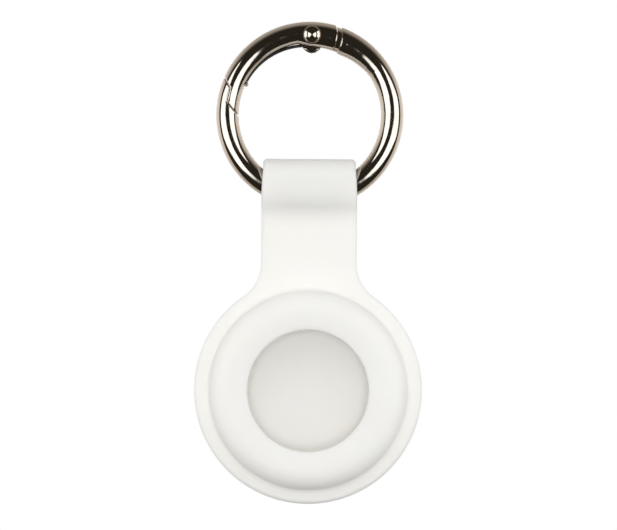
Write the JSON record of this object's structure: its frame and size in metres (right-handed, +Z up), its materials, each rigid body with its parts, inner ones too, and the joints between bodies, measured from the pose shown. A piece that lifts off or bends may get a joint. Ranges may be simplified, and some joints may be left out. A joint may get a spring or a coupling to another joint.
{
  "type": "tracker tag holder",
  "caption": "Silicone pouch with a front window for a coin-shaped tracker tag, on a flat strap whose loop hangs from a sprung-gate metal ring.",
  "frame": {"origin": "centre of the ring, on its own axis", "axes": "+X to the right and +Y away from the viewer of the window, along the ring's axis; +Z up, from the pouch to the ring"},
  "size_m": [0.0402, 0.0113, 0.0851],
  "materials": {
    "silicone": "matte",
    "polished_metal": "polished",
    "spring_steel": "satin"
  },
  "bodies": {
    "ring": {"ring_body": "polished_metal", "hinge_rivet": "polished_metal", "gate_spring": "spring_steel"},
    "gate": {"gate": "polished_metal"},
    "holder": {"silicone_holder": "silicone"}
  },
  "joints": [
    {"name": "gate_hinge", "type": "hinge", "parent": "ring", "child": "gate", "pos_m": [0.0003, 0, 0.01413], "axis": [0, -1, 0], "range_deg": [0, 40], "stiffness_Nm_per_rad": 0.05, "springref_deg": -28.65, "deforming": ["gate_spring"]},
    {"name": "loop_slide", "type": "hinge", "parent": "ring", "child": "holder", "pos_m": [0, 0, 0], "axis": [0, 1, 0], "range_deg": [-65, 30]}
  ]
}
